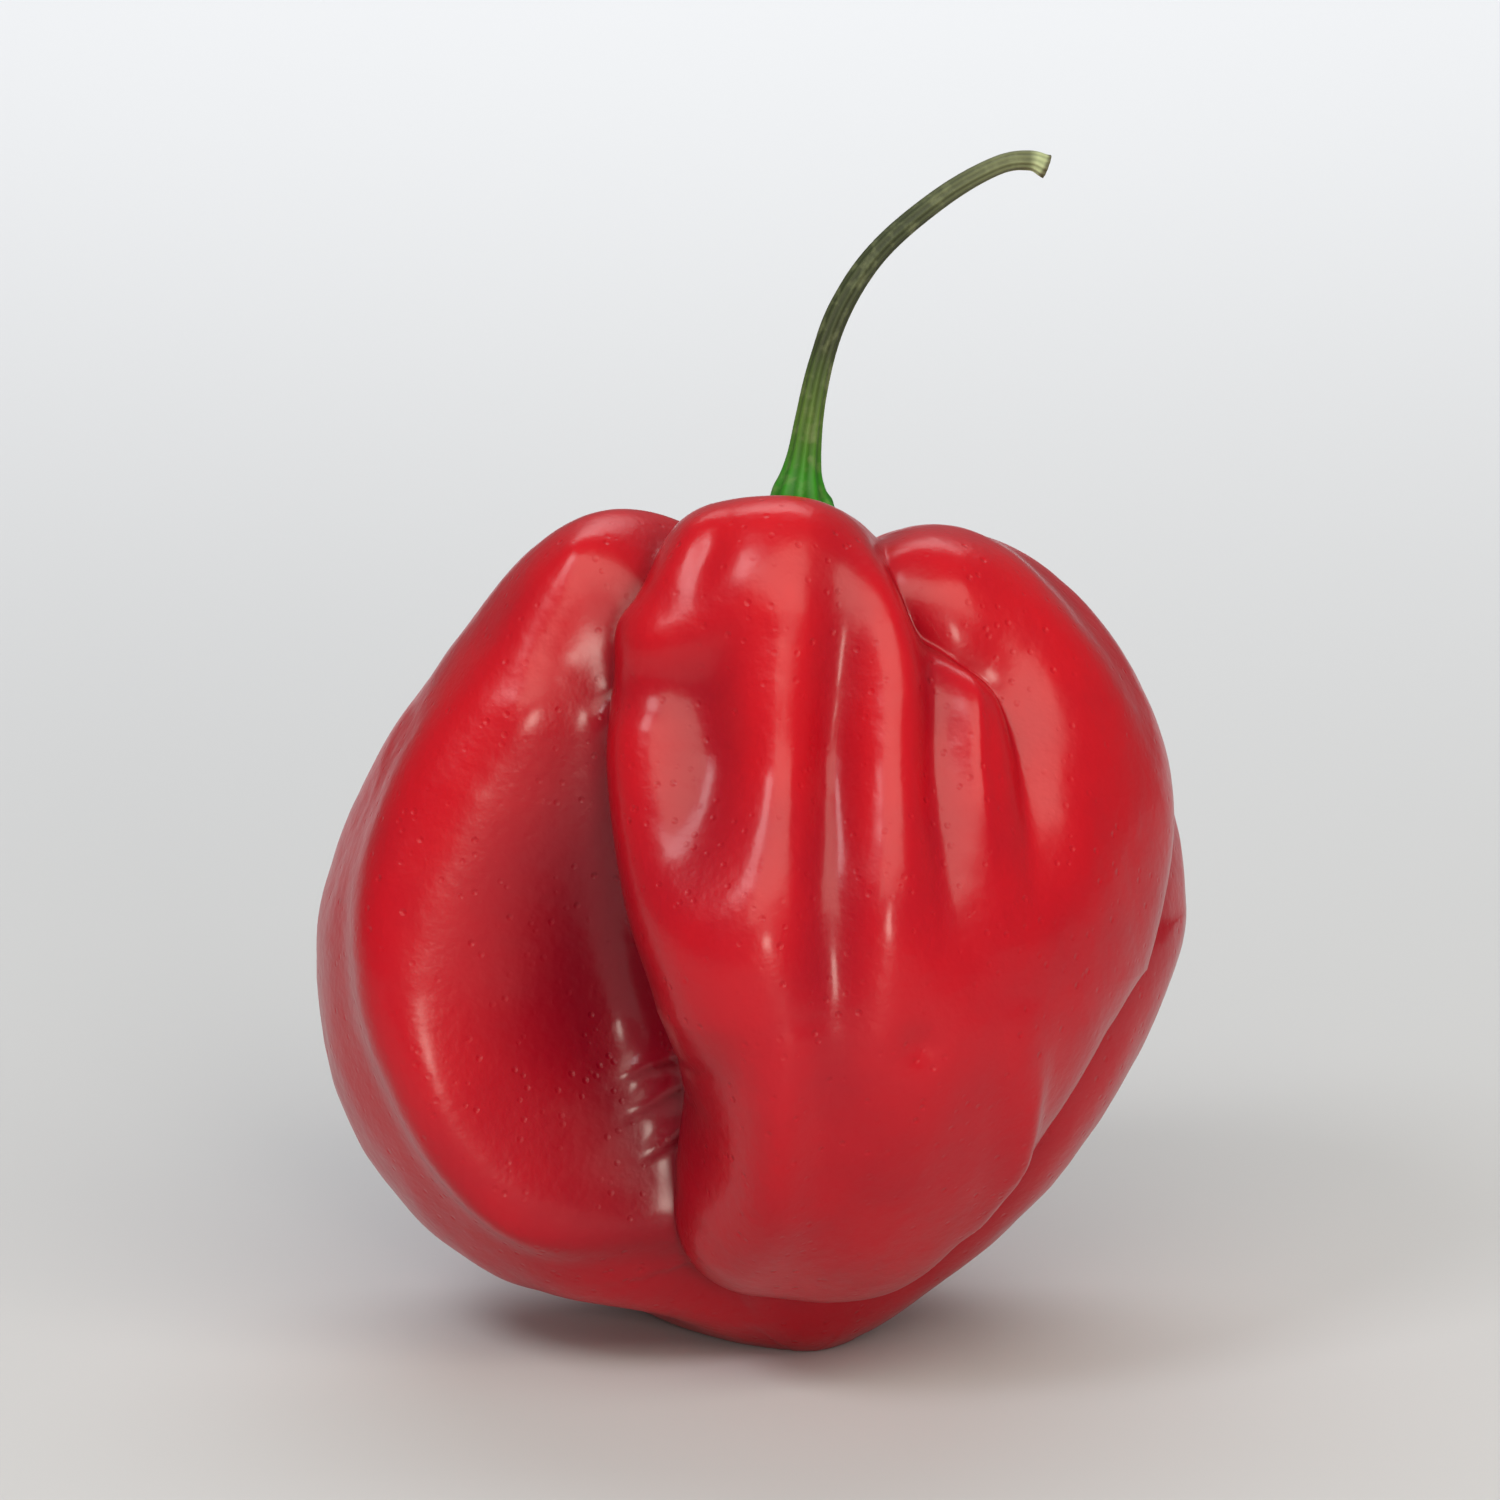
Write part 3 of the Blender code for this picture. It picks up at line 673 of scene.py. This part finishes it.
def ripeSkin():
    # Ripe pepper skin: a smooth waxy cuticle over thick red flesh, so broad soft highlights and a little glow
    # from within, with painted shade darkening its folds and grooves, a painted lighter top, and pores too
    # fine to see except in the highlights
    material, tree, shader = newMaterial("ripe pepper skin")
    look = skinLook
    place = addNode(tree, "ShaderNodeTexCoord").outputs["Object"]
    height = addNode(tree, "ShaderNodeSeparateXYZ", {0: place}).outputs[2]
    # Painted light: the red is painted lighter and warmer towards the top, where the light from above falls
    paintedLightRange = {"Value": height, "From Min": look["paintedLightFrom"], "From Max": look["paintedLightTo"]}
    paintedLightAmount = addNode(tree, "ShaderNodeMapRange", paintedLightRange, clamp=True).outputs[0]
    reds = {0: paintedLightAmount, 6: linear(look["ripeRed"]), 7: linear(look["paintedLightShoulder"])}
    colour = addNode(tree, "ShaderNodeMix", reds, data_type="RGBA").outputs[2]

    blotched = {"Vector": place, "Scale": perMm(look["blotchSize"]), "Detail": 3.0}
    blotches = addNode(tree, "ShaderNodeTexNoise", blotched).outputs[0]
    blotchAmount = addNode(
        tree, "ShaderNodeMapRange", {"Value": blotches, "From Min": 0.45, "From Max": 0.75, "To Max": 0.5}
    ).outputs[0]
    blushed = {0: blotchAmount, 6: colour, 7: linear(look["blush"])}
    colour = addNode(tree, "ShaderNodeMix", blushed, data_type="RGBA").outputs[2]

    # Painted shade: the grooves are painted a darker red where shade falls in them
    grooveDepthAndShade = addNode(tree, "ShaderNodeAttribute", attribute_name="grooveDepthAndShade").outputs["Fac"]
    grooveShadeAmount = addNode(
        tree, "ShaderNodeMapRange", {"Value": grooveDepthAndShade, "From Min": 0.5, "From Max": 0.9, "To Max": 0.6}
    ).outputs[0]
    ribs = {0: grooveShadeAmount, 6: colour, 7: linear(look["paintedShadeCrimson"])}
    colour = addNode(tree, "ShaderNodeMix", ribs, data_type="RGBA").outputs[2]

    # Painted shade: the folds are painted a darker red where shade falls in them
    foldDepthAndShade = addNode(tree, "ShaderNodeAttribute", attribute_name="foldDepthAndShade").outputs["Fac"]
    foldShadeAmount = addNode(
        tree, "ShaderNodeMapRange", {"Value": foldDepthAndShade, "From Min": 0.1, "From Max": 0.8, "To Max": 0.9}
    ).outputs[0]
    folds = {0: foldShadeAmount, 6: colour, 7: linear(look["paintedShadeCrimson"])}
    colour = addNode(tree, "ShaderNodeMix", folds, data_type="RGBA").outputs[2]
    tree.links.new(colour, shader.inputs["Base Color"])

    # Wax lies unevenly, so the gloss varies over a few millimetres
    smeared = {"Vector": place, "Scale": perMm(look["smearSize"]), "Detail": 4.0}
    smears = addNode(tree, "ShaderNodeTexNoise", smeared).outputs[0]
    glossiest = look["roughness"] - look["glossierBy"]
    dullest = look["roughness"] + look["dullerBy"]
    gloss = addNode(
        tree, "ShaderNodeMapRange", {"Value": smears, "To Min": glossiest, "To Max": dullest}
    ).outputs[0]
    tree.links.new(gloss, shader.inputs["Roughness"])

    # Pores about 0.4 mm across and deeper in some patches than in others, over a faint orange peel
    pores = addNode(tree, "ShaderNodeTexVoronoi", {"Vector": place, "Scale": perMm(look["poreSpacing"])})
    fromPore = pores.outputs["Distance"]
    poreShape = addNode(
        tree, "ShaderNodeMapRange", {"Value": fromPore, "From Min": 0.04, "From Max": 0.22}
    ).outputs[0]
    patched = {"Vector": place, "Scale": perMm(look["porePatchSize"]), "Detail": 1.0}
    patches = addNode(tree, "ShaderNodeTexNoise", patched).outputs[0]
    strong = {"Value": patches, "From Min": 0.35, "From Max": 0.6, "To Min": 0.2, "To Max": 1.0}
    poreStrength = addNode(tree, "ShaderNodeMapRange", strong).outputs[0]
    peeled = {"Vector": place, "Scale": perMm(look["peelSize"]), "Detail": 2.0}
    peel = addNode(tree, "ShaderNodeTexNoise", peeled).outputs[0]
    poreBump = {"Strength": poreStrength, "Distance": look["poreDepth"] * mm, "Height": poreShape}
    pored = addNode(tree, "ShaderNodeBump", poreBump).outputs[0]
    peelBump = {"Strength": 0.5, "Distance": look["peelDepth"] * mm, "Height": peel, "Normal": pored}
    tree.links.new(addNode(tree, "ShaderNodeBump", peelBump).outputs[0], shader.inputs["Normal"])

    shader.inputs["Subsurface Weight"].default_value = look["glow"]
    shader.inputs["Subsurface Radius"].default_value = look["glowColours"]
    shader.inputs["Subsurface Scale"].default_value = look["glowReach"] * mm
    shader.inputs["Specular IOR Level"].default_value = look["shine"]
    shader.inputs["Coat Weight"].default_value = look["waxCoat"]
    shader.inputs["Coat Roughness"].default_value = look["waxRoughness"]
    return material


stemLook = {
    "freshFoot": "2F8A10",
    "calyxEdge": "3C5A1A",
    "lower": "55752A",
    "middle": "3C4424",
    "upper": "6A6F4A",
    "pale": "B4BE8E",
    "cutEnd": "5E5A3C",
    "lines": "2A3414",
    "flecks": "8C9468",
    "fleckSize": 0.9,  # millimetres
    "fleckHeight": 0.08,
    "roughness": 0.55,
    "shine": 0.4,
}


def plantStem():
    # Living plant stem: bright green where it grows from the calyx, dull dark olive along its thin part, and
    # drying paler towards the cut end, with fine lines along it
    material, tree, shader = newMaterial("green plant stem")
    look = stemLook
    place = addNode(tree, "ShaderNodeTexCoord").outputs["Object"]
    along = addNode(tree, "ShaderNodeAttribute", attribute_name="along").outputs["Fac"]
    ramp = addNode(tree, "ShaderNodeValToRGB", {"Fac": along})
    stops = [
        (0.0, "freshFoot"),
        (0.33, "freshFoot"),
        (0.45, "lower"),
        (0.54, "middle"),
        (0.72, "middle"),
        (0.84, "upper"),
        (0.92, "upper"),
        (0.945, "pale"),
        (0.975, "pale"),
        (0.99, "cutEnd"),
    ]
    elements = ramp.color_ramp.elements
    while len(elements) < len(stops):
        elements.new(0.5)
    for element, (position, name) in zip(elements, stops):
        element.position = position
        element.color = linear(look[name])
    ridged = addNode(tree, "ShaderNodeAttribute", attribute_name="ridged").outputs["Fac"]
    lines = addNode(tree, "ShaderNodeMapRange", {"Value": ridged, "To Min": 0.35, "To Max": 0.0}).outputs[0]
    lined = {0: lines, 6: ramp.outputs[0], 7: linear(look["lines"])}
    colour = addNode(tree, "ShaderNodeMix", lined, data_type="RGBA", blend_type="MULTIPLY").outputs[2]
    rimward = addNode(tree, "ShaderNodeAttribute", attribute_name="rimward").outputs["Fac"]
    rimmed = {0: rimward, 6: colour, 7: linear(look["calyxEdge"])}
    colour = addNode(tree, "ShaderNodeMix", rimmed, data_type="RGBA").outputs[2]
    fleckNoise = {"Vector": place, "Scale": perMm(look["fleckSize"]), "Detail": 4.0}
    flecks = addNode(tree, "ShaderNodeTexNoise", fleckNoise).outputs[0]
    fleckAmount = addNode(
        tree, "ShaderNodeMapRange", {"Value": flecks, "From Min": 0.5, "From Max": 0.8, "To Max": 0.5}
    ).outputs[0]
    flecked = {0: fleckAmount, 6: colour, 7: linear(look["flecks"])}
    colour = addNode(tree, "ShaderNodeMix", flecked, data_type="RGBA").outputs[2]
    tree.links.new(colour, shader.inputs["Base Color"])
    bump = {"Strength": 0.4, "Distance": look["fleckHeight"] * mm, "Height": flecks}
    tree.links.new(addNode(tree, "ShaderNodeBump", bump).outputs[0], shader.inputs["Normal"])
    shader.inputs["Roughness"].default_value = look["roughness"]
    shader.inputs["Specular IOR Level"].default_value = look["shine"]
    return material


podSkin = growPod()
podSkin.data.materials.clear()
podSkin.data.materials.append(ripeSkin())
stemSkin = growStem(podSkin)
stemSkin.data.materials.clear()
stemSkin.data.materials.append(plantStem())
print("skins finished")

# The studio: a pale floor, a wide soft light above the front, small ones low in front and at the upper left,
# and one that lights the floor behind
studio = {
    "floorColour": "CBCDD0",
    "floorRoughness": 0.9,
    "floorSize": 8.0,
    "worldStrength": 0.2,
    "lights": [
        {
            "name": "key",
            "place": (0.1, -0.35, 0.38),
            "aim": (0, 0, 0.03),
            "width": 0.6,
            "height": 0.26,
            "power": 1.75,
            "colour": (1.0, 0.94, 0.8),
        },
        {
            "name": "low front",
            "place": (0.12, -0.62, 0.16),
            "aim": (0, 0, 0.03),
            "width": 0.12,
            "height": 0.12,
            "power": 1.0,
            "colour": (1.0, 0.94, 0.82),
        },
        {
            "name": "upper left",
            "place": (-0.24, -0.27, 0.42),
            "aim": (0, 0, 0.03),
            "width": 0.15,
            "height": 0.15,
            "power": 0.7,
        },
        {
            "name": "backdrop",
            "place": (0, 0.62, 0.6),
            "aim": (0, 0.55, 0),
            "width": 0.7,
            "height": 0.7,
            "power": 2.6,
            "spread": 100,
        },
    ],
}


def layFloor():
    bpy.ops.object.select_all(action="DESELECT")
    bpy.ops.mesh.primitive_plane_add(size=studio["floorSize"], location=(0, 0, 0))
    floor = bpy.context.object
    floor.name = "floor"
    # Matt painted board
    material, _, shader = newMaterial("matt pale board")
    shader.inputs["Base Color"].default_value = linear(studio["floorColour"])
    shader.inputs["Roughness"].default_value = studio["floorRoughness"]
    floor.data.materials.append(material)


def hangLight(spec):
    data = bpy.data.lights.new(spec["name"], "AREA")
    data.shape = "RECTANGLE"
    data.size = spec["width"]
    data.size_y = spec["height"]
    data.energy = spec["power"]
    data.color = spec.get("colour", (1, 1, 1))
    data.spread = math.radians(spec.get("spread", 180))
    light = bpy.data.objects.new(spec["name"], data)
    bpy.context.scene.collection.objects.link(light)
    light.location = spec["place"]
    towards = Vector(spec["aim"]) - Vector(spec["place"])
    light.rotation_euler = towards.to_track_quat("-Z", "Y").to_euler()


layFloor()
for spec in studio["lights"]:
    hangLight(spec)
world = bpy.data.worlds.new("studio")
world.use_nodes = True
world.node_tree.nodes["Background"].inputs[0].default_value = (1, 1, 1, 1)
world.node_tree.nodes["Background"].inputs[1].default_value = studio["worldStrength"]
bpy.context.scene.world = world
bpy.context.scene.view_settings.view_transform = "Standard"
print("studio set")

# The camera looks from the photograph's height, closer than it does there
view = {
    "elevation": 14.0,
    "distance": 0.75,
    "frameWidth": 0.096,  # metres across the picture, at the pepper
    "middle": (0.0, 0.0368),  # metres right of and above the foot, as the camera sees them
}


def placeCamera():
    tilt = math.radians(view["elevation"])
    back = Vector((0, -math.cos(tilt), math.sin(tilt)))
    up = Vector((0, math.sin(tilt), math.cos(tilt)))
    target = Vector((1, 0, 0)) * view["middle"][0] + up * view["middle"][1]
    data = bpy.data.cameras.new("camera")
    data.sensor_width = 36.0
    data.lens = data.sensor_width * view["distance"] / view["frameWidth"]
    camera = bpy.data.objects.new("camera", data)
    bpy.context.scene.collection.objects.link(camera)
    camera.location = target + back * view["distance"]
    camera.rotation_euler = (-back).to_track_quat("-Z", "Y").to_euler()
    bpy.context.scene.camera = camera


placeCamera()
print("camera placed")
